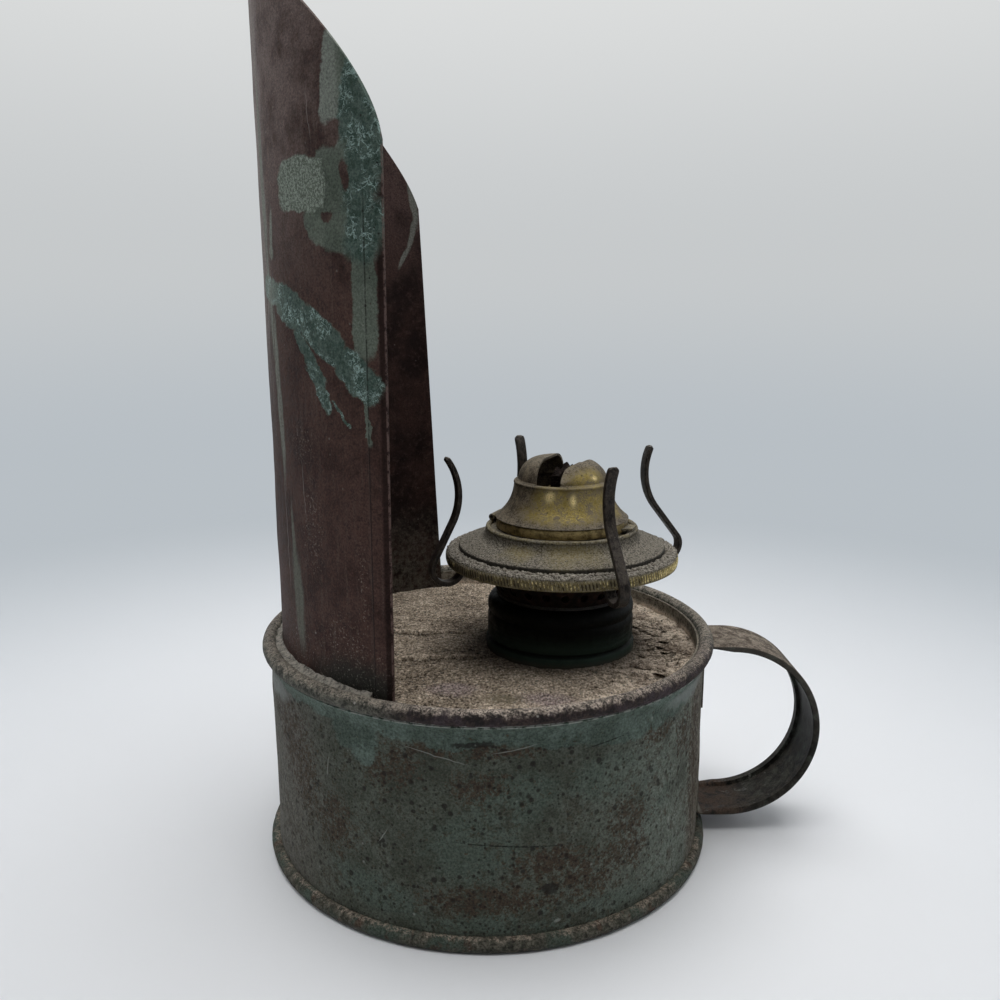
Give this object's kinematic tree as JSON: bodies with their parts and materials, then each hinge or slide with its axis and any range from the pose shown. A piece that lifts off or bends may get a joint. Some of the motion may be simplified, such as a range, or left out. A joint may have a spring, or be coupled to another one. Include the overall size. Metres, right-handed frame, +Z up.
{
  "type": "reflector oil lamp",
  "caption": "Small tin oil lamp with a round font, strap handle, tall curved reflector and a flat-wick brass burner with spring prongs, a hinged cone and a wick raiser.",
  "frame": {"origin": "on the axis of the round font, on the surface that the lamp stands on", "axes": "+Z up, +X from the font axis toward the strap handle, the reflector on the -X side"},
  "size_m": [0.104, 0.0834, 0.1528],
  "materials": {
    "weathered_paint": "matt, worn through to brown rust in patches",
    "dusty_plate": "matt, covered in settled dust",
    "rusty_rim": "matt, brown with dust on its upper side",
    "rusty_base": "matt rust",
    "dark_green_paint": "satin over a dull metal",
    "handle_tin": "satin, tan dust on the outside",
    "reflector_tin": "satin, purple brown with green patina",
    "solder": "dull, dusty",
    "dull_brass": "aged, under grey dust",
    "aged_brass": "aged, yellow where rubbed",
    "dark_steel": "dark, oxidised spring strip",
    "wick_cotton": "woven cotton, charred at the top"
  },
  "bodies": {
    "lamp": {"font_side": "weathered_paint", "font_top": "dusty_plate", "top_rim": "rusty_rim", "font_base": "rusty_base", "foot_bead": "weathered_paint", "collar": "dark_green_paint", "handle": "handle_tin", "reflector": "reflector_tin", "reflector_solder": "solder"},
    "burner": {"thread_shell": "dull_brass", "air_basket": "dull_brass", "gallery": "dull_brass", "air_plate": "dull_brass", "wick_tube": "dull_brass", "shaft_bearing": "dull_brass", "prong_ring": "dark_steel", "hinge_pin": "dark_steel"},
    "wick_raiser": {"raiser_shaft": "dark_steel", "spur_wheel_near": "aged_brass", "spur_wheel_far": "aged_brass", "thumbwheel": "aged_brass"},
    "wick": {"wick": "wick_cotton"},
    "cone": {"cone": "aged_brass", "lift_tab": "aged_brass"},
    "prong_front": {"prong_front": "dark_steel"},
    "prong_right": {"prong_right": "dark_steel"},
    "prong_back": {"prong_back": "dark_steel"},
    "prong_left": {"prong_left": "dark_steel"}
  },
  "joints": [
    {"name": "burner_lift", "type": "slide", "parent": "lamp", "child": "burner", "axis": [0, 0, 1], "range_m": [0, 0.05]},
    {"name": "cone_tilt", "type": "hinge", "parent": "burner", "child": "cone", "pos_m": [0.00144, 0.00512, 0.0598], "axis": [-0.3907, -0.9205, 0], "range_deg": [0, 80]},
    {"name": "wick_raiser_turn", "type": "hinge", "parent": "burner", "child": "wick_raiser", "pos_m": [0.00973, 0.0016, 0.0505], "axis": [-0.3907, -0.9205, 0], "range_deg": [-96, 153]},
    {"name": "wick_slide", "type": "slide", "parent": "burner", "child": "wick", "axis": [0, 0, 1], "range_m": [-0.005, 0.008]},
    {"name": "prong_front_spring", "type": "hinge", "parent": "burner", "child": "prong_front", "pos_m": [0.02017, -0.01832, 0.0528], "axis": [0.9397, 0.342, 0], "range_deg": [0, 8], "stiffness_Nm_per_rad": 0.1},
    {"name": "prong_right_spring", "type": "hinge", "parent": "burner", "child": "prong_right", "pos_m": [0.03182, 0.00667, 0.0528], "axis": [-0.342, 0.9397, 0], "range_deg": [0, 8], "stiffness_Nm_per_rad": 0.1},
    {"name": "prong_back_spring", "type": "hinge", "parent": "burner", "child": "prong_back", "pos_m": [0.00683, 0.01832, 0.0528], "axis": [-0.9397, -0.342, 0], "range_deg": [0, 8], "stiffness_Nm_per_rad": 0.1},
    {"name": "prong_left_spring", "type": "hinge", "parent": "burner", "child": "prong_left", "pos_m": [-0.00482, -0.00667, 0.0528], "axis": [0.342, -0.9397, 0], "range_deg": [0, 8], "stiffness_Nm_per_rad": 0.1}
  ],
  "couplings": [
    {"joint": "wick_raiser_turn", "follows": "wick_slide", "rad_per_m": 333.33}
  ]
}
